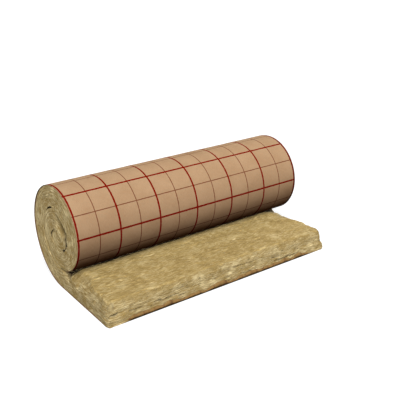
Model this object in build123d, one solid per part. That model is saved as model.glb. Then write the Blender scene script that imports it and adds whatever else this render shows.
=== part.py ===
"""Stone wool insulation roll with a kraft paper facing, partly unrolled on the floor.

One mat is wound on itself, and its free end lies flat in front of the roll. The paper is glued
to the mat's outer side, so it wraps the roll and lies under the free end.

Frame: X runs along the roll, -Y towards the free edge and Z up. The origin is on the floor, at
the middle of the object's footprint.
"""

import os

from build123d import *

# Driving dimensions, in millimetres
mat_width = 1200.0  # along the roll's axis
wound_thickness = 90.0  # wool, squeezed by the winding
free_thickness = 100.0  # wool, where the mat lies loose
facing_thickness = 0.5  # kraft paper with its film and glue
turns = 2  # full turns around the folded inner end
turn_clearance = 0.5  # under each turn, where it rests on the one below
turn_slack = 7.0  # over each inner turn, where the winding is loose
eye_gap = 7.0  # over the folded inner end
tail_length = 407.0  # wool from the roll's lowest line to its free edge
facing_lip = 5.0  # paper that shows past the wool's free edge
swell_length = 120.0  # along the tail, from the wound to the free thickness
free_edge_radius = 30.0  # worn upper corner of the free edge

# A layer is the mat with its paper, and the last half turn is the fold at its inner end
layer = wound_thickness + facing_thickness
tail_top = facing_thickness + free_thickness
half_turns = 2 * turns + 1


def winding_levels():
    """Heights of the paper's outer side on the upright plane through the roll's axis.

    They run along the winding from the floor inwards: floor, top, bottom, top and so on, and the
    last one is the top of the folded inner end.
    """
    bottoms = [turn * (layer + turn_clearance) for turn in range(turns + 1)]
    fold_top = bottoms[-1] + layer + facing_thickness
    innermost_top = fold_top + eye_gap + layer
    tops = [innermost_top + turn * (layer + turn_slack) for turn in reversed(range(turns))]
    levels = []
    for bottom, top in zip(bottoms, tops + [fold_top]):
        levels += [bottom, top]
    return levels


levels = winding_levels()
roll_height = levels[1]

# The roll's lowest line, placed so that the footprint is centred on the origin
roll_y = (tail_length + facing_lip - roll_height / 2) / 2
free_edge_y = roll_y - tail_length
lip_y = free_edge_y - facing_lip


def winding(inset, count):
    """A number of half-turn arcs, from the floor inwards, at a depth below the paper's outer side.

    Even half turns rise behind the roll and odd ones come down in front of it. All of them start
    and end on the upright plane through the axis, so each one runs on smoothly from the last.
    """
    heights = [height + inset if i % 2 == 0 else height - inset for i, height in enumerate(levels)]
    arcs = []
    for i in range(count):
        start, end = heights[i], heights[i + 1]
        reach = abs(end - start) / 2 if i % 2 == 0 else -abs(end - start) / 2
        middle = (roll_y + reach, (start + end) / 2)
        arcs.append(ThreePointArc((roll_y, start), middle, (roll_y, end)))
    return arcs


def extruded(outline):
    """A closed outline in the YZ plane, carried across the mat's width."""
    section = Plane.YZ.offset(-mat_width / 2) * make_face(outline)
    return extrude(section, amount=mat_width)


def wool_mat():
    """The whole mat: tail, turns and the round fold at the inner end."""
    paper_side = winding(facing_thickness, half_turns)
    bare_side = winding(layer, half_turns - 1)
    swell_end = roll_y - swell_length
    swell_middle = roll_y - swell_length / 2
    tail = [
        Line((roll_y, facing_thickness), (free_edge_y, facing_thickness)),
        Line((free_edge_y, facing_thickness), (free_edge_y, tail_top - free_edge_radius)),
        RadiusArc(
            (free_edge_y, tail_top - free_edge_radius),
            (free_edge_y + free_edge_radius, tail_top),
            free_edge_radius,
        ),
        Line((free_edge_y + free_edge_radius, tail_top), (swell_end, tail_top)),
        Bezier((swell_end, tail_top), (swell_middle, tail_top), (swell_middle, layer), (roll_y, layer)),
    ]
    return extruded(paper_side + bare_side + tail)


def kraft_facing():
    """The paper on the mat's outer side, from the lip under the tail to the folded inner end."""
    fold_top = levels[-1]
    ends = [
        Line((roll_y, 0), (lip_y, 0)),
        Line((lip_y, 0), (lip_y, facing_thickness)),
        Line((lip_y, facing_thickness), (roll_y, facing_thickness)),
        Line((roll_y, fold_top), (roll_y, fold_top - facing_thickness)),
    ]
    return extruded(winding(0, half_turns) + winding(facing_thickness, half_turns) + ends)


os.makedirs("parts", exist_ok=True)
export_step(wool_mat(), "parts/stone_wool_mat.step")
export_step(kraft_facing(), "parts/kraft_facing.step")
print("roll height", roll_height, "roll line at y", roll_y, "levels", levels)
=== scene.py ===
"""Looks of a stone wool insulation roll with a kraft paper facing, partly unrolled on a pale floor.

The wool is shaped as a flat mat, with its torn layers and worn edges, and is then wound up. The
paper follows the same winding, and loose fibres lie on the wool that shows.
"""

import itertools
import math

import bmesh
import bpy
import numpy as np
from bpy.props import FloatProperty, FloatVectorProperty, IntProperty, PointerProperty
from mathutils import Euler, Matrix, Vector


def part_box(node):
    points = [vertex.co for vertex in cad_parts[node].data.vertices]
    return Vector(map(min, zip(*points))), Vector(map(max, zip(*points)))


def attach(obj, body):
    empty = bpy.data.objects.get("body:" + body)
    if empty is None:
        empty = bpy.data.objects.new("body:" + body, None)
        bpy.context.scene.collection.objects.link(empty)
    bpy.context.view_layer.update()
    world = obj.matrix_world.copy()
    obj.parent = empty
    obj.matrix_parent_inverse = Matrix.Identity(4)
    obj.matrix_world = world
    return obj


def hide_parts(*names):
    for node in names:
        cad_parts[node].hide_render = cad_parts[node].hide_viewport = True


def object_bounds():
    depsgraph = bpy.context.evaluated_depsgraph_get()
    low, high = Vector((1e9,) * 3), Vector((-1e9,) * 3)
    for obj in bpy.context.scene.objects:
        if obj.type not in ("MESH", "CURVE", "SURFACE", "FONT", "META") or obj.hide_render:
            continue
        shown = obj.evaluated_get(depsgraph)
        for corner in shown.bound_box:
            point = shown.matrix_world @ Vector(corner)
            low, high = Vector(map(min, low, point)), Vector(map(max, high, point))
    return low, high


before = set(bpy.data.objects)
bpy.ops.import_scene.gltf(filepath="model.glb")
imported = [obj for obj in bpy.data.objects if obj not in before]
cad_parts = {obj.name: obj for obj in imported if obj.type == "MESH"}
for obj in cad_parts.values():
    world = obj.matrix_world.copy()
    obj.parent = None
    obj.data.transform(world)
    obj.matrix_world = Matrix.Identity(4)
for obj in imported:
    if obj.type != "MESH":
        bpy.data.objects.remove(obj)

bl_info = {
    "name": "Insulation Roll",
    "version": (1, 0, 0),
    "blender": (4, 5, 0),
    "location": "3D View > Sidebar > Insulation Roll",
    "description": "Builds a faced stone wool roll around its packed solids, on a studio floor",
    "category": "Object",
}

CAD_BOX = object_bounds()
WOOL_LOW, WOOL_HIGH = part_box("stone_wool_mat")
PAPER_LOW, PAPER_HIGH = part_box("kraft_facing")
MM = 0.001


def linear(colour):
    """Linear RGBA of an sRGB hex colour."""
    channels = [int(colour[i:i + 2], 16) / 255 for i in (1, 3, 5)]
    return [c / 12.92 if c <= 0.04045 else ((c + 0.055) / 1.055) ** 2.4 for c in channels] + [1.0]


def number(name, description, default, **kind):
    """A property for a number."""
    return FloatProperty(name=name, description=description, default=default, **kind)


def length(name, description, default):
    """A property for a length in metres."""
    return number(name, description, default, min=0, unit="LENGTH", precision=4)


def colour(name, description, default):
    """A property for a colour, given as sRGB hex."""
    return FloatVectorProperty(
        name=name, description=description, default=linear(default), size=4, min=0, max=1, subtype="COLOR"
    )


class WindingSizes(bpy.types.PropertyGroup):
    """Sizes of the mat and of its winding."""

    width: length("Width", "Mat along the roll's axis", WOOL_HIGH.x - WOOL_LOW.x)
    roll_height: length("Roll height", "From the floor to the top of the roll", PAPER_HIGH.z)
    facing_thickness: length("Facing thickness", "Kraft paper with its film and glue", WOOL_LOW.z)
    facing_lip: length("Facing lip", "Paper past the wool's free edge", WOOL_LOW.y - PAPER_LOW.y)
    wound_thickness: length("Wound thickness", "Wool, squeezed by the winding", 0.090)
    free_thickness: length("Free thickness", "Wool, where the mat lies loose", 0.100)
    swell: length("Swell", "Along the tail, from the wound to the free thickness", 0.120)
    turns: IntProperty(name="Turns", description="Full turns around the folded inner end", default=2, min=1)
    clearance: length("Clearance", "Under each turn, where it rests on the one below", 0.0005)
    slack: length("Slack", "Over each inner turn", 0.007)
    eye: length("Eye", "Gap over the folded inner end", 0.007)


class WoolLooks(bpy.types.PropertyGroup):
    """Surface of the wool."""

    cell: length("Cell", "Mesh cell on the wool's cut faces", 0.0030)
    top_cell: length("Top cell", "Mesh cell across the tail's top", 0.0075)
    worn_radius: length("Worn radius", "Rounding of the tail's upper edges", 0.030)
    end_radius: length("End radius", "Rounding of the turns' edges on the roll's ends", 0.003)
    layer: length("Layer", "Thickness of the layers in which a worn edge breaks off", 0.012)
    slope_start: length("Slope start", "Width of the tail's worn ends at the free edge", 0.018)
    slope_growth: length("Slope growth", "How much wider they are beside the roll", 0.070)
    slope_fall: length("Slope fall", "How deep they are worn", 0.024)
    recess: length("Recess", "How far the inner turns lie back at the roll's ends", 0.017)
    parting: length("Parting", "How far in from the roll's ends the turns stand apart", 0.090)
    fibre_length: length("Fibre length", "Length of a loose wisp of fibres", 0.024)
    fibre_thickness: length("Fibre thickness", "Thickness of a loose wisp", 0.0005)
    fibre_density: number("Fibre density", "Wisps on a square metre", 10000, min=0)
    wool: colour("Wool", "Pressed faces of the mat", "#A88F58")
    # Cut wool is partly its own colour and partly painted shade, for the shade among fibre ends and to keep
    # the cut sides darker than the top
    wool_cut: colour("Cut wool", "Cut faces of the mat, where fibre ends show", "#96835A")
    wool_light: colour("Light wool", "Loose, dry fibres", "#D2BF90")
    wool_dark: colour("Dark wool", "Binder-rich layers", "#8A7342")
    # Painted shade: the near-black tone laid on tears, hidden sides, openings, the crease under the roll and
    # worn edges
    wool_shade: colour("Deep wool", "Cracks and pits", "#20170A")


class FacingLooks(bpy.types.PropertyGroup):
    """Surface of the kraft facing and its print."""

    row: length("Row", "Mesh cell along the winding", 0.006)
    columns: IntProperty(name="Columns", description="Mesh cells across the width", default=72, min=2)
    wave_height: length("Wave height", "How far the paper leaves a smooth winding", 0.0016)
    wave_length: length("Wave length", "From one wave of the paper to the next", 0.11)
    curl: length("Curl", "How high the lip turns up in front of the wool", 0.024)
    inner_trim: length("Inner trim", "How far the inner turns' wool bulges past their paper", 0.035)
    grid: length("Grid", "From one bold line to the next along the mat", 0.200)
    grid_margin: length("Grid margin", "From the paper's side edges to the outer bold lines", 0.0068)
    first_line: length("First line", "From the lip to the first bold line", 0.0269)
    bare_lip: length("Bare lip", "Unprinted paper at the lip", 0.015)
    bold: length("Bold line", "Width of a bold line", 0.0083)
    thin: length("Thin line", "Width of a thin line", 0.0043)
    kraft: colour("Kraft", "Unbleached paper under its film", "#BE9F7D")
    kraft_dark: colour("Dark kraft", "Darker pulp", "#AD8C6A")
    kraft_lip: colour("Kraft lip", "Unprinted lip, stained by glue", "#987A4C")
    # Kraft edge: random stains on the lip, and as the whole colour of the cut edge and bare inner side it is
    # painted shade that makes the edge a dark rim
    kraft_edge: colour("Kraft edge", "Cut edge and bare inner side, stained by glue", "#7A5C3C")
    ink: colour("Ink", "Bold lines of the printed grid", "#80150C")
    thin_ink: colour("Thin ink", "Thin lines of the printed grid", "#7C4E37")


class StudioLooks(bpy.types.PropertyGroup):
    """Floor, light and camera."""

    floor_size: length("Floor size", "Side of the floor", 60.0)
    floor_seen: colour("Floor", "Floor as the camera sees it", "#B8B8B8")
    floor_bounce: colour("Floor bounce", "Floor as it lights the object", "#202020")
    floor_glow: number("Floor glow", "Light of its own that the camera sees on the floor", 0.70, min=0)
    fill: number("Fill", "Strength of the light from all round", 0.015, min=0)
    camera_x: number("Camera X", "Camera's place", -1.6628, unit="LENGTH")
    camera_y: number("Camera Y", "Camera's place", -2.3744, unit="LENGTH")
    camera_z: number("Camera Z", "Camera's place", 1.4865, unit="LENGTH")
    camera_turn: number("Camera turn", "Turn to the right of +Y", math.radians(36.38), subtype="ANGLE")
    camera_tilt: number("Camera tilt", "Tilt below the horizon", math.radians(22.36), subtype="ANGLE")
    lens: number("Lens", "Focal length in millimetres on a 36 mm sensor", 61.32)


def noise(points, seed):
    """Smooth noise from -1 to 1, with one wave to a unit, at points of any number of dimensions."""
    points = np.stack(np.broadcast_arrays(*points), axis=-1)
    base = np.floor(points).astype(np.int64)
    part = points - base
    part = part * part * (3 - 2 * part)
    factors = np.array([73856093, 19349663, 83492791])[: points.shape[-1]]
    total = np.zeros(points.shape[:-1])
    for corner in itertools.product((0, 1), repeat=points.shape[-1]):
        mixed = ((base + corner) @ factors + seed * 2654435761) & 0x7FFFFFFF
        mixed = ((mixed ^ (mixed >> 13)) * 1274126177) & 0x7FFFFFFF
        value = (mixed ^ (mixed >> 16)) / 0x3FFFFFFF - 1
        total += value * np.prod(np.where(corner, part, 1 - part), axis=-1)
    return total


def bell(value, middle, spread):
    """A bump of height 1."""
    return np.exp(-(((value - middle) / spread) ** 2))


def ease(value):
    """A smooth step from 0 to 1 over the same range."""
    value = np.clip(value, 0, 1)
    return value * value * (3 - 2 * value)


class Winding:
    """Where each point of the flat mat lies once it is wound up. Lengths are in metres."""

    def __init__(self, sizes):
        self.sizes = sizes
        self.free_edge_y = WOOL_LOW.y
        self.roll_y = PAPER_HIGH.y - sizes.roll_height / 2
        self.tail_length = self.roll_y - self.free_edge_y
        levels = self.levels()
        self.half_turns = [
            ((start + end) / 2, abs(end - start) / 2, 1 if i % 2 == 0 else -1)
            for i, (start, end) in enumerate(zip(levels, levels[1:]))
        ]
        middles = [radius - sizes.wound_thickness / 2 for _, radius, _ in self.half_turns[:-1]]
        self.lengths = [math.pi * middle for middle in middles] + [math.pi * self.half_turns[-1][1] / 2]
        self.starts = [self.tail_length + sum(self.lengths[:i]) for i in range(len(self.lengths) + 1)]

    def levels(self):
        """Heights of the paper's outer side on the roll's upright middle plane, from the floor inwards."""
        sizes = self.sizes
        layer = sizes.wound_thickness + sizes.facing_thickness
        bottoms = [turn * (layer + sizes.clearance) for turn in range(sizes.turns + 1)]
        fold_top = bottoms[-1] + layer + sizes.facing_thickness
        innermost = fold_top + sizes.eye + layer
        tops = [innermost + turn * (layer + sizes.slack) for turn in reversed(range(sizes.turns))]
        return [level for pair in zip(bottoms, tops + [fold_top]) for level in pair]

    def angle(self, along, half_turn):
        """How far a half turn has gone, in radians, at a length from the free edge."""
        return (along - self.starts[half_turn]) / self.lengths[half_turn] * math.pi

    def thickness(self, along):
        """Wool at a length from the free edge."""
        sizes = self.sizes
        swelling = ease((along - self.tail_length + sizes.swell) / sizes.swell)
        return sizes.free_thickness + (sizes.wound_thickness - sizes.free_thickness) * swelling

    def arc(self, half_turn, reach, angle):
        """Y and Z of points on a half turn."""
        centre, _, side = self.half_turns[half_turn]
        return self.roll_y + side * reach * np.sin(angle), centre - side * reach * np.cos(angle)

    def wool(self, along, height):
        """Y and Z of points of the wool, at a length from the free edge and a height over the paper."""
        y = self.free_edge_y + along
        z = self.sizes.facing_thickness + height
        for i, (_, radius, _) in enumerate(self.half_turns[:-1]):
            here = along > self.starts[i]
            turned = self.arc(i, radius - self.sizes.facing_thickness - height, self.angle(along, i))
            y, z = np.where(here, turned[0], y), np.where(here, turned[1], z)
        fold = len(self.half_turns) - 1
        reach = self.half_turns[fold][1] - self.sizes.facing_thickness
        paper = self.arc(fold, reach, np.clip(self.angle(along, fold), 0, math.pi))
        pivot = self.arc(fold, reach, math.pi)
        share = height / self.sizes.wound_thickness
        here = along > self.starts[fold]
        y = np.where(here, paper[0] + (pivot[0] - paper[0]) * share, y)
        z = np.where(here, paper[1] + (pivot[1] - paper[1]) * share, z)
        return self.settle(y, z)

    def paper(self, row):
        """Y and Z along the paper's inner side, from the lip to the inner end, about one row apart.

        The rows lie closer where the lip curls, and three times as far apart along the flat tail.
        """
        start = self.free_edge_y - self.sizes.facing_lip
        count = round((self.roll_y - start) / (3 * row))
        fine = np.array([0, 0.7, 1.4, 2.1, 2.8, 3.5, 4.5, 6, 8, 10.5, 14]) * MM
        y = np.concatenate([start + fine, np.linspace(start + 0.02, self.roll_y, count)])
        z = np.full(len(y), self.sizes.facing_thickness)
        for i, (_, radius, _) in enumerate(self.half_turns):
            reach = radius - self.sizes.facing_thickness
            angle = np.linspace(0, math.pi, round(math.pi * reach / row) + 1)[1:]
            turned = self.arc(i, reach, angle)
            y, z = np.concatenate([y, turned[0]]), np.concatenate([z, turned[1]])
        return self.settle(y, z)

    def openings(self, along):
        """How far the wool's bare side and its paper side stand off the turns beside them.

        The outer turn parts from the inner ones in front. At the back, over their top and over the fold,
        the wool swells out to the next turn instead. Each bell has a height in metres, and its middle and
        spread are angles of its half turn.
        """
        rise, fall, inner_rise, inner_fall = (self.angle(along, i) for i in range(4))
        bare = 0.0030 * bell(inner_rise, 1.6, 0.36) - 0.008 * bell(inner_rise, 2.8, 0.5)
        bare -= 0.009 * bell(rise, 2.0, 0.35) + 0.006 * bell(rise, 2.90, 0.10)
        bare -= 0.006 * bell(rise, 3.1, 0.16) + 0.008 * bell(fall, 0.45, 0.4)
        bare -= 0.012 * bell(inner_fall, 0.2, 0.5)
        paper = 0.0
        for middle, spread in ((1.45, 0.14), (1.97, 0.26), (2.62, 0.12)):
            bare = bare + 0.005 * bell(fall, middle, spread)
            paper = paper + 0.004 * bell(inner_fall, middle - 0.02, spread)
        return bare, paper

    def settle(self, y, z):
        """Let the loose inner turns sink away from the outer one in front, and the fold bulge backwards.

        Each move fades out around a point, given in metres from the roll's lowest line and the floor.
        """
        across = y - self.roll_y
        outer = np.where(across > 0, 0, 1)
        centre = np.choose(outer, [self.half_turns[0][0], self.half_turns[1][0]])
        radius = np.choose(outer, [self.half_turns[0][1], self.half_turns[1][1]])
        inside = ease((1 - np.hypot(across, z - centre) / radius) / 0.3)
        sunk = inside * bell(np.hypot(across + 0.052, z - 0.335), 0, 0.080)
        bulged = inside * bell(np.hypot(across - 0.050, z - 0.230), 0, 0.048)
        pressed = inside * bell(np.hypot(across + 0.090, z - 0.262), 0, 0.050)
        return y + 0.016 * sunk + 0.014 * bulged + 0.012 * pressed, z - 0.029 * sunk


def rounded(x, s, w):
    """Carry shares from 0 to 1 of a cube's corner over to a ball's."""
    xx, ss, ww = x * x, s * s, w * w
    return (
        x * np.sqrt(1 - ss / 2 - ww / 2 + ss * ww / 3),
        s * np.sqrt(1 - xx / 2 - ww / 2 + xx * ww / 3),
        w * np.sqrt(1 - xx / 2 - ss / 2 + xx * ss / 3),
    )


# The torn faces are worked out in millimetres. Each noise has the size of its waves and a seed of its own.


def torn_end(along, height, side):
    """How deep the cut end of the mat lies: thin layers that run along the mat, clumps and a few pits."""
    a, h = along / MM + 3000 * side, height / MM
    wave = h + 5 * noise((a / 110, h / 45), 11)
    depth = 2.4 + 0.8 * noise((a / 60, wave / 6), 12) + 0.7 * noise((a / 16, wave / 5), 13)
    depth += 1.4 * noise((a / 55, h / 40), 14)
    pits = ease(noise((a / 14, h / 8), 15) * 4 - 2.9)
    splayed = 5 * ease((46 - h) / 10) * ease((80 - along / MM) / 60)
    return (depth + 4 * pits - splayed) * MM


def torn_edge(across, height):
    """How deep the mat's free edge lies: layers that part from each other, and splits along the width."""
    x, h = across / MM, height / MM
    layer = np.floor(h / 14 + 0.35 * noise((x / 140, h / 60), 31))
    depth = 4 + 1.8 * noise((x / 95, layer * 3.7), 32) + 1.0 * noise((x / 26, layer * 5.3), 33)
    depth += 2.0 * noise((x / 120, h / 45), 34) + 0.9 * noise((x / 12, h / 6), 35)
    depth -= 8 * ease((46 - h) / 10) * ease((np.abs(x) - 430) / 110)

    # Splits, by their middle across the mat, half their length and their height over the paper
    for middle, reach, level in ((-573, 32, 46), (-463, 36, 38), (-312, 58, 36)):
        parted = ease(1.6 - 1.6 * ((x - middle) / reach) ** 2)
        depth += 24 * parted * ease(1.4 - np.abs(h - level - 2 * noise((x / 30, level), 38)) / 3.0)

    # Seams between layers, by their height, how deep they open, and how much of them stays closed
    for level, depth_here, closed in ((24, 17, 0.6), (43, 10, 1.1), (61, 10, 1.0)):
        seam = level + 4 * noise((x / 80, level / 3), 36)
        parted = ease(noise((x / 60, level / 7), 37) * 3.2 - closed)
        depth += depth_here * parted * ease(1.3 - np.abs(h - seam) / 3.0)
    return depth * MM


def matted_top(across, along):
    """How deep the tail's top lies: pressed fibres that run across the mat, low waves, tufts and pits."""
    x, a = across / MM, along / MM
    drift = a + 9 * noise((x / 120, a / 80), 51)
    depth = 2.5 + 2.2 * noise((x / 190, a / 110), 52) + 0.9 * noise((x / 45, drift / 14), 53)
    depth += 0.8 * noise((x / 18, drift / 8), 54)
    pits = ease(noise((x / 26, drift / 11), 55) * 3.5 - 2.3)
    from_end = CAD_BOX[1][0] / MM - np.abs(x)
    worn = np.exp(-np.minimum(a, from_end) / 35)
    tufts = 2.4 * noise((x / 14, a / 14), 56) + 1.6 * noise((x / 7, a / 7), 57)
    return (depth + 4 * pits + worn * tufts) * MM


def patch(rows, columns, key):
    """Corners of the cells of a grid, as vertex keys."""
    a, b = np.meshgrid(np.arange(rows - 1), np.arange(columns - 1), indexing="ij")
    corners = [key(a, b), key(a + 1, b), key(a + 1, b + 1), key(a, b + 1)]
    return np.stack(corners, axis=-1).reshape(-1, 4)


class WoolGrid:
    """Rows along the mat, levels through its thickness and columns across its width."""

    def __init__(self, winding, looks):
        step = looks.cell
        stops = [0.0] + winding.starts
        pieces = [np.linspace(a, b, round((b - a) / step) + 1)[1:] for a, b in zip(stops, stops[1:])]
        self.along = np.concatenate([[0.0]] + pieces)
        self.crease = len(pieces[0])
        self.fold = len(self.along) - 1 - len(pieces[-1])
        self.levels = round(winding.sizes.free_thickness / step)
        half = winding.sizes.width / 2

        # The columns lie close together by the ends, where the edges are worn
        band = np.arange(12) * looks.worn_radius / 8
        middle = half - band[-1]
        inner = np.linspace(-middle, middle, round(2 * middle / looks.top_cell) + 1)[1:-1]
        self.across = np.concatenate([-half + band, inner, half - band[::-1]])
        last = len(self.across) - 1
        self.bands = np.concatenate([np.arange(len(band)), last - np.arange(len(band))[::-1]])
        self.gap = len(band) - 1

    def key(self, row, level, column):
        """One number for each vertex. All of the fold's bare side is one line."""
        pinched = ((row >= self.fold) & (level == self.levels)) | (row == len(self.along) - 1)
        row = np.where(pinched, self.fold, row)
        level = np.where(pinched, self.levels, level)
        return (row * (self.levels + 1) + level) * len(self.across) + column

    def faces(self):
        """Faces as lists of vertex keys: two ends, the tail's top, its free edge, and the hidden sides."""
        rows, levels, columns = len(self.along), self.levels, len(self.across)
        quads = [
            patch(rows, levels + 1, lambda a, b: self.key(a, b, 0)),
            patch(rows, levels + 1, lambda a, b: self.key(a, b, columns - 1)),
            patch(self.crease + 1, columns, lambda a, b: self.key(a, levels, b)),
            patch(levels + 1, columns, lambda a, b: self.key(0, a, b)),
        ]
        faces = [face for group in quads for face in group.tolist()]
        for first, last, level in ((self.crease, self.fold, levels), (0, rows - 1, 0)):
            side = patch(
                last - first + 1, len(self.bands), lambda a, b: self.key(a + first, level, self.bands[b])
            )
            wide = side[self.gap]
            fine = np.arange(self.bands[self.gap], self.bands[self.gap + 1] + 1)
            faces += np.delete(side, self.gap, axis=0).tolist()
            faces.append(self.key(first, level, fine).tolist() + [int(wide[2]), int(wide[1])])
        return faces


def wool_vertices(winding, looks, grid, row, level, column):
    """Place the wool's vertices, and say what each one shows.

    The mat is worn and torn while it is flat, and is then wound up. Returns the places and, by name,
    what the materials and the wisps read. Lengths are in metres, and a bell on inner_fall is at angles
    of the half turn in which the innermost turn comes down in front.
    """
    half = winding.sizes.width / 2
    along, across = grid.along[row], grid.across[column]
    thickness = winding.thickness(along)
    height = level / grid.levels * thickness
    side, from_end = np.sign(across), half - np.abs(across)
    past_tail, fade = along - winding.tail_length, 0.06
    in_tail = 1 - ease((past_tail + fade) / fade)
    inner_fall = winding.angle(along, 3)

    # Worn edges, as a ball's quarter round where two or three faces meet, tighter near the paper
    worn_radius = looks.worn_radius * (1 - 0.1 * ease((along - 0.03) / 0.06))
    worn_radius *= 0.6 + 0.4 * ease(height / thickness / 0.7)
    radius = looks.end_radius + (worn_radius - looks.end_radius) * in_tail
    clumps, tufts = (noise((along / size, across / size), seed) for size, seed in ((0.05, 71), (0.017, 73)))
    radius *= 1 + 0.35 * clumps + 0.25 * tufts
    shares = [np.clip(1 - gap / radius, 0, 1) for gap in (from_end, along, thickness - height)]
    turned = rounded(*shares)
    x = np.where(shares[0] > 0, side * (half - radius + radius * turned[0]), across)
    s = np.where(shares[1] > 0, radius - radius * turned[1], along)
    h = np.where(shares[2] > 0, thickness - radius + radius * turned[2], height)

    # The worn edges break off in layers, so they are stepped
    ridge = 4 * turned[2] ** 2 * (1 - turned[2] ** 2) * in_tail
    lifted = (h + 0.004 * noise((across / 0.07, along / 0.07), 72)) / looks.layer
    part = lifted - np.floor(lifted)
    h += ridge * looks.layer * (ease((part - 0.5) / 0.45 + 0.5) - part)

    # The tail's ends are worn to a slope, narrow at the free edge and wide beside the roll
    reach = looks.slope_start + looks.slope_growth * ease((along - 0.10) / 0.22)
    reach *= 1 + 0.3 * noise((along / 0.05, 0.5 * side), 74)
    slope = np.clip(1 - from_end / reach, 0, 1) * (1 - ease((past_tail + 0.075) / 0.05))
    h -= looks.slope_fall * slope * height / thickness
    worn_height = h.copy()

    # Torn faces: each one lies back by its own depth, which fades out along the faces beside it.
    # The ends lie further back beside the outer turn's paper, and in front where the inner turns sink.
    band = half - np.abs(grid.across[grid.bands[grid.gap]])
    end_depth = torn_end(along, height, side)
    end_depth += 0.004 * ease(1 - height / 0.004) * (along < winding.starts[2])
    end_depth += looks.recess * bell(inner_fall, 0.9, 0.75) * (1 - height / thickness) ** 1.6
    edge_depth = torn_edge(across, height)
    top_depth = matted_top(across, along) * in_tail
    x -= side * end_depth * np.clip(1 - from_end / band, 0, 1)
    s += edge_depth * np.clip(1 - along / band, 0, 1)
    h -= top_depth * height / thickness

    # The loose turns stand apart in places, most of all at the ends, and the openings get painted shade
    near_end = np.exp(-from_end / looks.parting)
    bare_side, paper_side = winding.openings(along)
    share = height / thickness
    h += near_end * (paper_side * (1 - share) ** 3 - bare_side * share ** 3)
    # Painted shade on the wool right beside each opening
    parted = np.where(height < thickness / 2, paper_side, bare_side)
    parted = ease(parted / 0.003) * (np.minimum(height, thickness - height) < 0.002)
    # Painted shade on the inner turns beside the outer one, where they lie back in its shadow
    recess_shade = 0.75 * bell(inner_fall, 0.42, 0.5) + 0.9 * bell(inner_fall, 1.24, 0.12)
    recess_shade *= ease(1 - height / 0.055)
    recess_shade += 0.95 * bell(inner_fall, 1.70, 0.24) * ease(1 - height / 0.035)

    # What each vertex shows: where it lies on the mat, how its fibres run, and where painted shade darkens it
    y, z = winding.wool(s, h)
    ahead_y, ahead_z = winding.wool(s + MM, h)
    at_end, at_edge, at_top = (facing ** 2 for facing in turned)
    seen_top = at_top * (along < winding.tail_length)
    run = np.stack([np.zeros(len(y)), ahead_y - y, ahead_z - z], axis=-1) / MM * at_end[:, None]
    run[:, 0] += 1 - at_end
    torn = at_end * end_depth + at_edge * edge_depth + seen_top * top_depth
    hidden = (at_end + at_edge + seen_top) < 0.5
    # Painted shade: hidden sides are painted near black, and torn faces darker the deeper they lie back
    deep = np.where(hidden, 1.0, ease((torn / MM - 5) / 13))
    # Painted shade in the crease where the tail runs in under the roll
    crease = seen_top * ease((past_tail + 0.071) / 0.006)
    # Painted shade along the tail's worn edges, which face the lamp, and a little on its worn slopes
    worn_edge_shade = in_tail * (0.8 * at_end * at_edge + 0.8 * at_edge * at_top + 0.3 * at_top * at_end)
    worn_edge_shade = np.maximum(worn_edge_shade, 0.13 * ease(3 * slope))
    wisps = (0.7 * at_end + 1.4 * at_edge + 0.8 * seen_top) * (1 - hidden)
    wisps *= 1 - 0.9 * bell(along, winding.tail_length, 0.03)
    wisps *= ease(height / 0.03)
    return np.stack([x, y, z], axis=-1), {
        "mat_place": np.stack([along, worn_height, across], axis=-1),
        "fibre_run": run,
        "cut_share": np.clip(at_end + at_edge + 0.6 * ease(3 * slope), 0, 1),
        "painted_shade": np.maximum.reduce([deep, parted, recess_shade, crease, worn_edge_shade]),
        "wisps": wisps,
    }


def make_object(name, places, faces):
    """A mesh object at the origin, smooth, with its faces outwards."""
    mesh = bpy.data.meshes.new(name)
    mesh.from_pydata(places, [], faces)
    shape = bmesh.new()
    shape.from_mesh(mesh)
    bmesh.ops.recalc_face_normals(shape, faces=shape.faces)
    shape.to_mesh(mesh)
    shape.free()
    mesh.shade_smooth()
    mesh.set_sharp_from_angle(angle=math.radians(55))
    made = bpy.data.objects.new(name, mesh)
    bpy.context.scene.collection.objects.link(made)
    return made


def add(tree, kind, inputs=None, **settings):
    """Add a node with its settings.

    inputs gives its sockets, by name or number, a value, another node's output, or another node, which
    stands for its first output.
    """
    node = tree.nodes.new(kind)
    for name, value in settings.items():
        setattr(node, name, value)
    for socket, value in (inputs or {}).items():
        if isinstance(value, bpy.types.Node):
            value = value.outputs[0]
        if isinstance(value, bpy.types.NodeSocket):
            tree.links.new(value, node.inputs[socket])
        else:
            node.inputs[socket].default_value = value
    return node


def new_material(name):
    """A material and its empty node tree."""
    material = bpy.data.materials.new(name)
    material.use_nodes = True
    material.node_tree.nodes.clear()
    return material, material.node_tree


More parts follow.
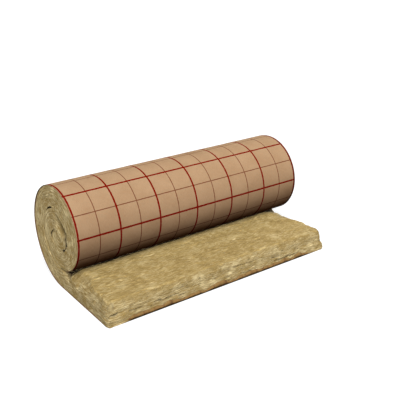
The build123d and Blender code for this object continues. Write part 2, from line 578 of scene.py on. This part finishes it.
def stone_wool():
    """Stone wool, spun and pressed into layers.

    To the eye it is matt and dry: pale loose fibres, browner layers with more binder, and splits, pits,
    openings and creases darkened with painted shade.
    """
    looks = bpy.context.scene.wool_looks
    material, tree = new_material("stone_wool_pressed")
    place = add(tree, "ShaderNodeAttribute", attribute_name="mat_place").outputs["Vector"]
    cut = add(tree, "ShaderNodeAttribute", attribute_name="cut_share").outputs["Fac"]
    # Painted shade laid on by the mesh: tears, hidden sides, openings, the crease and worn edges
    painted_shade = add(tree, "ShaderNodeAttribute", attribute_name="painted_shade").outputs["Fac"]

    # A cut face shows the edges of thin layers, and short pits along them where grains were shed. The top
    # shows fibres that run across the mat. Real fibres are far under a millimetre, so all of these are
    # drawn coarse enough to show. Sizes are along the mat, through it and across it, in millimetres.
    layer_size, fibre_size, pit_size = (36, 4, 36), (7, 20, 26), (20, 5.5, 20)
    patterns = []
    for size, detail, roughness in ((layer_size, 6, 0.68), (fibre_size, 6, 0.68), (pit_size, 2, 0.5)):
        scale = tuple(1 / (side * MM) for side in size)
        spot = add(tree, "ShaderNodeMapping", {"Vector": place, "Scale": scale})
        grain = {"Vector": spot, "Scale": 1, "Detail": detail, "Roughness": roughness}
        patterns.append(add(tree, "ShaderNodeTexNoise", grain))
    layers, fibres, pits = patterns
    streak = add(tree, "ShaderNodeMix", {0: cut, 2: fibres, 3: layers})
    blotch = add(tree, "ShaderNodeTexNoise", {"Vector": place, "Scale": 1 / (55 * MM), "Detail": 3})
    mixed = add(tree, "ShaderNodeMath", {0: blotch, 1: 0.45, 2: streak}, operation="MULTIPLY_ADD")
    mixed = add(tree, "ShaderNodeMath", {0: mixed, 1: 0.73}, operation="SUBTRACT")
    contrast = add(tree, "ShaderNodeMath", {0: cut, 1: 0.6, 2: 1.0}, operation="MULTIPLY_ADD")
    mixed = add(tree, "ShaderNodeMath", {0: mixed, 1: contrast}, operation="MULTIPLY")
    darker, lighter = (
        add(tree, "ShaderNodeMapRange", {"Value": mixed, "From Min": 0.0, "From Max": full})
        for full in (-0.16, 0.27)
    )
    # The pits are painted dark, as painted shade in holes that have no shape of their own
    pits = {"Value": pits, "From Min": 0.60, "From Max": 0.72, "To Max": 0.75}
    pits = add(tree, "ShaderNodeMapRange", pits)
    pits = add(tree, "ShaderNodeMath", {0: pits, 1: cut}, operation="MULTIPLY")
    painted_shade = add(tree, "ShaderNodeMath", {0: painted_shade, 1: pits}, operation="MAXIMUM")
    body = looks.wool
    for share, tint in (
        (cut, looks.wool_cut),
        (darker, looks.wool_dark),
        (lighter, looks.wool_light),
        (painted_shade, looks.wool_shade),
    ):
        body = add(tree, "ShaderNodeMix", {0: share, 6: body, 7: tint}, data_type="RGBA").outputs[2]
    bump = add(tree, "ShaderNodeBump", {"Strength": 0.5, "Distance": 1.8 * MM, "Height": streak})
    shader = add(
        tree,
        "ShaderNodeBsdfPrincipled",
        {
            "Base Color": body,
            "Normal": bump,
            "Roughness": 0.95,
            "Specular IOR Level": 0.15,
            "Sheen Weight": 0.08,
            "Sheen Tint": looks.wool_light,
        },
    )
    add(tree, "ShaderNodeOutputMaterial", {0: shader})
    return material


def wool_wisp():
    """Loose stone wool fibres, drawn out of the mat: dry, pale and slightly glossy hairs."""
    looks = bpy.context.scene.wool_looks
    material, tree = new_material("stone_wool_wisp")
    shade = add(tree, "ShaderNodeAttribute", attribute_name="shade").outputs["Fac"]
    body = add(tree, "ShaderNodeMix", {0: shade, 6: looks.wool, 7: looks.wool_light}, data_type="RGBA")
    shader = add(tree, "ShaderNodeBsdfPrincipled", {"Base Color": body.outputs[2], "Roughness": 0.7})
    add(tree, "ShaderNodeOutputMaterial", {0: shader})
    return material


def kraft_paper():
    """Unbleached kraft paper under a thin film, printed with a cutting grid.

    To the eye it is smooth and matt, with faint pulp streaks along the roll's turn and crisp red lines.
    """
    sizes, looks = bpy.context.scene.winding_sizes, bpy.context.scene.facing_looks
    material, tree = new_material("kraft_paper_filmed")
    place = add(tree, "ShaderNodeUVMap", uv_map="UVMap")
    along, across, _ = add(tree, "ShaderNodeSeparateXYZ", {0: place}).outputs

    # Rubbed spots of the ink, clouds in the pulp and stains on the lip, in millimetres
    rubbed, cloud, stain = (
        add(tree, "ShaderNodeTexNoise", {"Vector": place, "Scale": 1 / (size * MM), "Detail": detail})
        for size, detail in ((6, 2), (90, 3), (22, 3))
    )

    # Distance from the nearest line of each ruling, where thin lines lie midway between bold ones
    bold_spaces, blur = 6, 0.3 * MM
    column = (sizes.width - 2 * looks.grid_margin) / bold_spaces
    shifted = add(tree, "ShaderNodeMath", {0: along, 1: looks.first_line}, operation="SUBTRACT")
    worn = add(tree, "ShaderNodeMapRange", {"Value": rubbed, "From Min": 0.2, "From Max": 0.5, "To Min": 0.8})
    printed = add(tree, "ShaderNodeMath", {0: along, 1: looks.bare_lip}, operation="GREATER_THAN")
    worn = add(tree, "ShaderNodeMath", {0: worn, 1: printed}, operation="MULTIPLY")
    inks = []
    for pitch, width in ((1, looks.bold), (0.5, looks.thin)):
        rows = add(tree, "ShaderNodeMath", {0: shifted, 1: pitch * looks.grid / 2}, operation="PINGPONG")
        rings = add(tree, "ShaderNodeMath", {0: across, 1: pitch * column / 2}, operation="PINGPONG")
        nearest = add(tree, "ShaderNodeMath", {0: rows, 1: rings}, operation="MINIMUM")
        edges = {"Value": nearest, "From Min": width / 2 + blur, "From Max": width / 2 - blur}
        line = add(tree, "ShaderNodeMapRange", edges)
        inks.append(add(tree, "ShaderNodeMath", {0: line, 1: worn}, operation="MULTIPLY"))

    # Pulp fibres lie mostly along the web, about 1 mm wide here so that they show
    spot = add(tree, "ShaderNodeMapping", {"Vector": place, "Scale": (1 / (14 * MM), 1 / (1.3 * MM), 1)})
    pulp = add(tree, "ShaderNodeTexNoise", {"Vector": spot, "Scale": 1, "Detail": 4})
    tone = add(tree, "ShaderNodeMath", {0: cloud, 1: 0.6, 2: pulp}, operation="MULTIPLY_ADD")
    tone = add(tree, "ShaderNodeMapRange", {"Value": tone, "From Min": 0.6, "From Max": 1.05})
    stain = add(tree, "ShaderNodeMapRange", {"Value": stain, "From Min": 0.48, "From Max": 0.66})
    stained = {0: stain, 6: looks.kraft_lip, 7: looks.kraft_edge}
    lip = add(tree, "ShaderNodeMix", stained, data_type="RGBA").outputs[2]
    body = looks.kraft
    for share, tint in ((tone, looks.kraft_dark), (inks[1], looks.thin_ink), (inks[0], looks.ink)):
        body = add(tree, "ShaderNodeMix", {0: share, 6: body, 7: tint}, data_type="RGBA").outputs[2]
    body = add(tree, "ShaderNodeMix", {0: printed, 6: lip, 7: body}, data_type="RGBA").outputs[2]
    bump = add(tree, "ShaderNodeBump", {"Strength": 0.25, "Distance": 0.4 * MM, "Height": pulp})
    shader = add(
        tree,
        "ShaderNodeBsdfPrincipled",
        {"Base Color": body, "Normal": bump, "Roughness": 0.5, "Specular IOR Level": 0.0},
    )
    add(tree, "ShaderNodeOutputMaterial", {0: shader})
    return material


def kraft_back():
    """The paper's bare inner side and cut edge: matt, in one darker brown that is painted shade, so that the
    cut edge reads as a dark rim.
    """
    looks = bpy.context.scene.facing_looks
    material, tree = new_material("kraft_paper_bare")
    shader = add(tree, "ShaderNodeBsdfPrincipled", {"Base Color": looks.kraft_edge, "Roughness": 0.85})
    add(tree, "ShaderNodeOutputMaterial", {0: shader})
    return material


def node_tree(name, numbers, counts):
    """A Geometry Nodes tree and its inputs: the geometry, and named numbers and counts."""
    tree = bpy.data.node_groups.new(name, "GeometryNodeTree")
    tree.interface.new_socket("Geometry", in_out="OUTPUT", socket_type="NodeSocketGeometry")
    kinds = {"NodeSocketGeometry": ("Geometry",), "NodeSocketFloat": numbers, "NodeSocketInt": counts}
    for kind, labels in kinds.items():
        for label in labels:
            tree.interface.new_socket(label, in_out="INPUT", socket_type=kind)
    return tree, add(tree, "NodeGroupInput").outputs


def plain_mesh(base, tree, values):
    """Run a tree on an object and return the result as a plain mesh."""
    modifier = base.modifiers.new(tree.name, "NODES")
    modifier.node_group = tree
    for item in tree.interface.items_tree:
        if item.in_out == "INPUT" and item.name in values:
            modifier[item.identifier] = values[item.name]
    bpy.context.view_layer.update()
    depsgraph = bpy.context.evaluated_depsgraph_get()
    mesh = bpy.data.meshes.new_from_object(
        base.evaluated_get(depsgraph), preserve_all_data_layers=True, depsgraph=depsgraph
    )
    base.modifiers.remove(modifier)
    if not mesh.polygons:
        raise RuntimeError(f"{tree.name} made no faces")
    return mesh


def facing_tree(material):
    """Sweep the winding's line across the mat's width, with low waves and a curled lip."""
    lengths = ("Width", "Wave height", "Wave length", "Curl", "Tail", "Outer turn", "Inner trim")
    tree, given = node_tree("Wound facing", lengths, ("Columns",))
    line = add(tree, "GeometryNodeMeshToCurve", {0: given["Geometry"]})
    line = add(tree, "GeometryNodeSetCurveNormal", {0: line, "Normal": (1, 0, 0)}, mode="FREE")
    line_part = add(tree, "GeometryNodeSplineParameter").outputs["Length"]
    tangent = add(tree, "GeometryNodeInputTangent").outputs["Tangent"]
    line_kept = add(tree, "GeometryNodeCaptureAttribute", {0: line})
    for kind, name, source in (("FLOAT", "Along", line_part), ("VECTOR", "Tangent", tangent)):
        line_kept.capture_items.new(kind, name)
        tree.links.new(source, line_kept.inputs[name])
    minus, half = (
        add(tree, "ShaderNodeMath", {0: given["Width"], 1: share}, operation="MULTIPLY")
        for share in (-0.5, 0.5)
    )
    start, stop = (add(tree, "ShaderNodeCombineXYZ", {0: x}) for x in (minus, half))
    profile = add(tree, "GeometryNodeCurvePrimitiveLine", {"Start": start, "End": stop})
    profile = add(tree, "GeometryNodeResampleCurve", {0: profile, "Count": given["Columns"]})
    swept = add(tree, "GeometryNodeCurveToMesh", {0: line_kept, 1: profile})

    place = add(tree, "GeometryNodeInputPosition")
    across = add(tree, "ShaderNodeSeparateXYZ", {0: place}).outputs["X"]
    along = line_kept.outputs["Along"]
    spot = add(tree, "ShaderNodeCombineXYZ", {0: along, 1: across})
    density = add(tree, "ShaderNodeMath", {0: 1.0, 1: given["Wave length"]}, operation="DIVIDE")
    waves = add(tree, "ShaderNodeTexNoise", {"Vector": spot, "Scale": density, "Detail": 2})
    past = add(tree, "ShaderNodeMath", {0: along, 1: given["Tail"]}, operation="SUBTRACT")
    waves_start = 0.15
    wound = add(tree, "ShaderNodeMapRange", {"Value": past, "From Min": 0.0, "From Max": waves_start})
    lift = waves
    for share in (given["Wave height"], wound):
        lift = add(tree, "ShaderNodeMath", {0: lift, 1: share}, operation="MULTIPLY")
    sides = {0: line_kept.outputs["Tangent"], 1: (1, 0, 0)}
    outward = add(tree, "ShaderNodeVectorMath", sides, operation="CROSS_PRODUCT")
    move = add(tree, "ShaderNodeVectorMath", {0: outward, "Scale": lift}, operation="SCALE")

    # The lip is turned up against the wool, unevenly, and less at its corners, which lie further back.
    # Half way up it bulges out from the wool.
    turned_up, lip_end, corner_back, lean, swell = 0.0035, 0.020, 0.014, 0.006, 0.024
    curled = add(tree, "ShaderNodeMapRange", {"Value": along, "From Min": turned_up, "From Max": 0.0})
    out = add(tree, "ShaderNodeMath", {0: across, 1: half}, operation="DIVIDE")
    out = add(tree, "ShaderNodeMath", {0: out}, operation="ABSOLUTE")
    flat = add(tree, "ShaderNodeMapRange", {"Value": out, "From Min": 0.93, "From Max": 0.80})
    uneven = add(tree, "ShaderNodeTexNoise", {"Vector": spot, "Scale": 11.0, "Detail": 3})
    uneven = {"Value": uneven, "From Min": 0.36, "From Max": 0.60, "To Min": 0.15}
    uneven = add(tree, "ShaderNodeMapRange", uneven)
    rise = curled
    for share in (uneven, given["Curl"], flat):
        rise = add(tree, "ShaderNodeMath", {0: rise, 1: share}, operation="MULTIPLY")
    bulge = add(tree, "ShaderNodeMath", {0: curled, 1: 1.0}, operation="SUBTRACT")
    for share in (curled, flat):
        bulge = add(tree, "ShaderNodeMath", {0: bulge, 1: share}, operation="MULTIPLY")
    back = {"Value": out, "From Min": 0.82, "From Max": 0.94, "To Max": corner_back}
    back = add(tree, "ShaderNodeMapRange", back)
    for share, depth in ((curled, lean), (bulge, swell)):
        back = add(tree, "ShaderNodeMath", {0: share, 1: depth, 2: back}, operation="MULTIPLY_ADD")
    near = add(tree, "ShaderNodeMapRange", {"Value": along, "From Min": lip_end, "From Max": 0.0})
    back = add(tree, "ShaderNodeMath", {0: back, 1: near}, operation="MULTIPLY")

    # Inside the roll the wool bulges past the paper, so the paper is drawn in from both ends
    trim_start = -0.06
    past = add(tree, "ShaderNodeMath", {0: along, 1: given["Outer turn"]}, operation="SUBTRACT")
    drawn = add(tree, "ShaderNodeMapRange", {"Value": past, "From Min": trim_start, "From Max": 0.0})
    for operation, value in (
        ("MULTIPLY", given["Inner trim"]),
        ("DIVIDE", half),
        ("MULTIPLY", across),
        ("MULTIPLY", -1.0),
    ):
        drawn = add(tree, "ShaderNodeMath", {0: drawn, 1: value}, operation=operation)
    shift = add(tree, "ShaderNodeCombineXYZ", {0: drawn, 1: back, 2: rise})
    move = add(tree, "ShaderNodeVectorMath", {0: move, 1: shift}, operation="ADD")
    moved = add(tree, "GeometryNodeSetPosition", {0: swept, "Offset": move})
    mapped = add(
        tree,
        "GeometryNodeStoreNamedAttribute",
        {0: moved, "Name": "UVMap", "Value": spot},
        data_type="FLOAT2",
        domain="CORNER",
    )
    whole = add(tree, "GeometryNodeRealizeInstances", {0: mapped})
    surfaced = add(tree, "GeometryNodeSetMaterial", {0: whole, "Material": material})
    add(tree, "NodeGroupOutput", {0: surfaced})
    return tree


def wisp_tree(material):
    """Scatter thin bent wisps over the wool, laid along its fibres."""
    tree, given = node_tree("Loose wisps", ("Density", "Length", "Thickness"), ("Seed",))
    share = add(tree, "GeometryNodeInputNamedAttribute", {"Name": "wisps"})
    density = add(tree, "ShaderNodeMath", {0: share, 1: given["Density"]}, operation="MULTIPLY")
    points = add(
        tree,
        "GeometryNodeDistributePointsOnFaces",
        {0: given["Geometry"], "Density": density, "Seed": given["Seed"]},
    )

    # Lowest and highest values of how a wisp strays from its fibres, its turn in radians, and its size
    ranges = (
        ((-0.55, -0.55, -0.55), (0.55, 0.55, 0.55)),
        ((-1.2, -0.14, -0.25), (1.2, 0.08, 0.25)),
        ((0.35, 0.5, 0.5), (1.0, 1.3, 1.3)),
    )
    stray, tip, size = (
        add(
            tree,
            "FunctionNodeRandomValue",
            {0: low, 1: high, "Seed": given["Seed"]},
            data_type="FLOAT_VECTOR",
        )
        for low, high in ranges
    )
    run = add(tree, "GeometryNodeInputNamedAttribute", {"Name": "fibre_run"}, data_type="FLOAT_VECTOR")
    run = add(tree, "ShaderNodeVectorMath", {0: run, 1: stray}, operation="ADD")
    turned = add(
        tree,
        "FunctionNodeAlignRotationToVector",
        {"Rotation": points.outputs["Rotation"], "Vector": run},
        axis="X",
        pivot_axis="Z",
    )
    tip = add(tree, "FunctionNodeEulerToRotation", {0: tip})
    turned = add(tree, "FunctionNodeRotateRotation", {0: turned, 1: tip}, rotation_space="LOCAL")

    # A wisp is a thin three-sided strand with one bend
    minus, half, bend = (
        add(tree, "ShaderNodeMath", {0: given["Length"], 1: share}, operation="MULTIPLY")
        for share in (-0.5, 0.5, 0.12)
    )
    start, stop = (add(tree, "ShaderNodeCombineXYZ", {0: x}) for x in (minus, half))
    middle = add(tree, "ShaderNodeCombineXYZ", {1: bend})
    strand = add(
        tree,
        "GeometryNodeCurveQuadraticBezier",
        {"Resolution": 3, "Start": start, "Middle": middle, "End": stop},
    )
    radius = add(tree, "ShaderNodeMath", {0: given["Thickness"], 1: 0.5}, operation="MULTIPLY")
    ring = add(tree, "GeometryNodeCurvePrimitiveCircle", {"Resolution": 3, "Radius": radius})
    hair = add(tree, "GeometryNodeCurveToMesh", {0: strand, 1: ring, "Fill Caps": True})
    placed = add(
        tree,
        "GeometryNodeInstanceOnPoints",
        {"Points": points, "Instance": hair, "Rotation": turned, "Scale": size},
    )
    tone = add(tree, "FunctionNodeRandomValue", {2: 0.0, 3: 1.0, "Seed": given["Seed"]}).outputs[1]
    toned = add(
        tree,
        "GeometryNodeStoreNamedAttribute",
        {0: placed, "Name": "shade", "Value": tone},
        domain="INSTANCE",
    )
    whole = add(tree, "GeometryNodeRealizeInstances", {0: toned})
    surfaced = add(tree, "GeometryNodeSetMaterial", {0: whole, "Material": material})
    add(tree, "NodeGroupOutput", {0: surfaced})
    return tree


class InsulationWoolMat(bpy.types.Operator):
    """Shape the flat wool mat, with its worn edges and torn faces, and wind it up"""

    bl_idname = "insulation_roll.wool_mat"
    bl_label = "Wool Mat"

    def execute(self, context):
        winding = Winding(context.scene.winding_sizes)
        grid = WoolGrid(winding, context.scene.wool_looks)
        faces = grid.faces()
        keys = np.unique(np.concatenate([np.array(face) for face in faces]))
        row, rest = np.divmod(keys, (grid.levels + 1) * len(grid.across))
        level, column = np.divmod(rest, len(grid.across))
        places, shown = wool_vertices(winding, context.scene.wool_looks, grid, row, level, column)
        numbered = [list(dict.fromkeys(np.searchsorted(keys, face).tolist())) for face in faces]
        mat = make_object("wool_mat", places.tolist(), [face for face in numbered if len(face) > 2])
        for name, values in shown.items():
            kind, field = ("FLOAT_VECTOR", "vector") if values.ndim == 2 else ("FLOAT", "value")
            attribute = mat.data.attributes.new(name, kind, "POINT")
            attribute.data.foreach_set(field, values.astype(np.float32).ravel())
        mat.data.materials.append(stone_wool())
        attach(mat, "root")
        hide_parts("stone_wool_mat")
        return {"FINISHED"}


class InsulationWisps(bpy.types.Operator):
    """Lay loose wisps of fibre on the wool that shows"""

    bl_idname = "insulation_roll.wisps"
    bl_label = "Loose Wisps"

    def execute(self, context):
        looks = context.scene.wool_looks
        mesh = plain_mesh(
            bpy.data.objects["wool_mat"],
            wisp_tree(wool_wisp()),
            {
                "Density": looks.fibre_density,
                "Length": looks.fibre_length,
                "Thickness": looks.fibre_thickness,
                "Seed": 5,
            },
        )
        wisps = bpy.data.objects.new("wool_wisps", mesh)
        context.scene.collection.objects.link(wisps)
        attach(wisps, "root")
        return {"FINISHED"}


class InsulationFacing(bpy.types.Operator):
    """Wind the printed kraft facing around the mat's outer side"""

    bl_idname = "insulation_roll.facing"
    bl_label = "Kraft Facing"

    def execute(self, context):
        sizes, looks = context.scene.winding_sizes, context.scene.facing_looks
        winding = Winding(sizes)
        outer_turn = math.pi * sum(radius for _, radius, _ in winding.half_turns[:2])
        y, z = winding.paper(looks.row)
        line = bpy.data.meshes.new("facing_line")
        places = np.stack([np.zeros(len(y)), y, z], axis=-1)
        line.from_pydata(places.tolist(), [(i, i + 1) for i in range(len(y) - 1)], [])
        facing = bpy.data.objects.new("kraft_facing_sheet", line)
        context.scene.collection.objects.link(facing)
        facing.data = plain_mesh(
            facing,
            facing_tree(kraft_back()),
            {
                "Width": sizes.width,
                "Columns": looks.columns + 1,
                "Wave height": looks.wave_height,
                "Wave length": looks.wave_length,
                "Curl": looks.curl,
                "Tail": winding.tail_length + sizes.facing_lip,
                "Outer turn": winding.tail_length + outer_turn,
                "Inner trim": looks.inner_trim,
            },
        )
        bpy.data.meshes.remove(line)
        facing.data.shade_smooth()
        facing.data.materials.append(kraft_paper())
        thicken = facing.modifiers.new("Paper", "SOLIDIFY")
        thicken.thickness = sizes.facing_thickness
        thicken.offset = 1
        thicken.material_offset = 1
        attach(facing, "root")
        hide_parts("kraft_facing")
        return {"FINISHED"}


def studio_floor():
    """Matt white paper sweep, which the camera sees white around the object's shadow.

    To other rays it is dark, so that it throws little light up on the object.
    """
    looks = bpy.context.scene.studio_looks
    material, tree = new_material("floor_paper_matt")
    path = add(tree, "ShaderNodeLightPath").outputs
    seen = path["Is Camera Ray"]
    for ray in ("Is Glossy Ray", "Is Transmission Ray"):
        seen = add(tree, "ShaderNodeMath", {0: seen, 1: path[ray]}, operation="MAXIMUM")
    tones = {0: seen, 6: looks.floor_bounce, 7: looks.floor_seen}
    tone = add(tree, "ShaderNodeMix", tones, data_type="RGBA").outputs[2]
    glow = add(tree, "ShaderNodeMath", {0: seen, 1: looks.floor_glow}, operation="MULTIPLY")
    shader = add(
        tree,
        "ShaderNodeBsdfPrincipled",
        {
            "Base Color": tone,
            "Emission Color": (1, 1, 1, 1),
            "Emission Strength": glow,
            "Roughness": 1.0,
            "Specular IOR Level": 0.0,
        },
    )
    add(tree, "ShaderNodeOutputMaterial", {0: shader})
    return material


def studio_world():
    """Faint light from all round, which the camera sees as plain white."""
    world = bpy.data.worlds.new("studio")
    world.use_nodes = True
    tree = world.node_tree
    tree.nodes.clear()
    path = add(tree, "ShaderNodeLightPath").outputs
    seen = {0: path["Is Camera Ray"], 1: path["Is Glossy Ray"]}
    seen = add(tree, "ShaderNodeMath", seen, operation="MAXIMUM")
    fill = bpy.context.scene.studio_looks.fill
    strength = add(tree, "ShaderNodeMapRange", {"Value": seen, "To Min": fill, "To Max": 1.0})
    light = add(tree, "ShaderNodeBackground", {"Color": (1, 1, 1, 1), "Strength": strength})
    add(tree, "ShaderNodeOutputWorld", {0: light})
    return world


class InsulationStage(bpy.types.Operator):
    """Set the pale floor, the soft lights and the camera"""

    bl_idname = "insulation_roll.stage"
    bl_label = "Studio Stage"

    def execute(self, context):
        looks = context.scene.studio_looks
        half = looks.floor_size / 2
        corners = [(-half, -half, 0), (half, -half, 0), (half, half, 0), (-half, half, 0)]
        floor = make_object("studio_floor", corners, [(0, 1, 2, 3)])
        floor.location.z = -0.6 * MM
        floor.data.materials.append(studio_floor())
        context.scene.world = studio_world()

        # Name, turn to the left of the front, height over the floor, spread, strength, colour and what is
        # lit. The wool and the paper have their own lamps, so that each has its own level. The wool throws
        # no light on the paper by itself, so that the crease stays dark under the roll. The wool glow
        # stands for the warm light that the tail throws on the roll's belly.
        wool, paper = ("wool_mat", "wool_wisps"), ("kraft_facing_sheet",)
        lamps = (
            ("wool_softbox", 35, 34, 34, 1.72, "#FFFFFF", wool),
            ("paper_softbox", 31, 55, 35, 1.14, "#FFFFFF", paper + ("studio_floor",)),
            ("wool_glow", 20, 30, 10, 0.10, "#FFB060", paper),
            ("side_softbox", -80, 6, 50, 0.65, "#FFFFFF", wool),
            ("back_softbox", 235, 8, 40, 0.52, "#FFFFFF", ()),
        )
        for name, turn, rise, spread, strength, tint, lit in lamps:
            lamp = bpy.data.lights.new(name, "SUN")
            lamp.angle, lamp.energy = math.radians(spread), strength * math.pi
            lamp.color = linear(tint)[:3]
            box = bpy.data.objects.new(name, lamp)
            box.rotation_euler = Euler((math.radians(90 - rise), 0, -math.radians(turn)))
            context.scene.collection.objects.link(box)
            if lit:
                box.light_linking.receiver_collection = bpy.data.collections.new(name)
            for piece in lit:
                box.light_linking.receiver_collection.objects.link(bpy.data.objects[piece])
        for piece in wool:
            bpy.data.objects[piece].visible_diffuse = False

        camera = bpy.data.objects.new("camera", bpy.data.cameras.new("camera"))
        camera.data.lens = looks.lens
        camera.data.sensor_width = 36
        camera.location = (looks.camera_x, looks.camera_y, looks.camera_z)
        camera.rotation_euler = Euler((math.pi / 2 - looks.camera_tilt, 0, -looks.camera_turn))
        context.scene.collection.objects.link(camera)
        context.scene.camera = camera
        context.scene.view_settings.view_transform = "Standard"
        return {"FINISHED"}


class InsulationPanel(bpy.types.Panel):
    """Steps that build the roll"""

    bl_idname = "VIEW3D_PT_insulation_roll"
    bl_label = "Insulation Roll"
    bl_space_type = "VIEW_3D"
    bl_region_type = "UI"
    bl_category = "Insulation Roll"

    def draw(self, context):
        for step in STEPS:
            self.layout.operator(step.bl_idname)


STEPS = (InsulationWoolMat, InsulationWisps, InsulationFacing, InsulationStage)
SETTINGS = {
    "winding_sizes": WindingSizes,
    "wool_looks": WoolLooks,
    "facing_looks": FacingLooks,
    "studio_looks": StudioLooks,
}


def register():
    for item in (*SETTINGS.values(), *STEPS, InsulationPanel):
        bpy.utils.register_class(item)
    for name, settings in SETTINGS.items():
        setattr(bpy.types.Scene, name, PointerProperty(type=settings))


def unregister():
    for name in SETTINGS:
        delattr(bpy.types.Scene, name)
    for item in (InsulationPanel, *reversed(STEPS), *reversed(list(SETTINGS.values()))):
        bpy.utils.unregister_class(item)


def main():
    register()
    bpy.ops.insulation_roll.wool_mat()
    bpy.ops.insulation_roll.wisps()
    bpy.ops.insulation_roll.facing()
    bpy.ops.insulation_roll.stage()


if __name__ == "__main__":
    main()
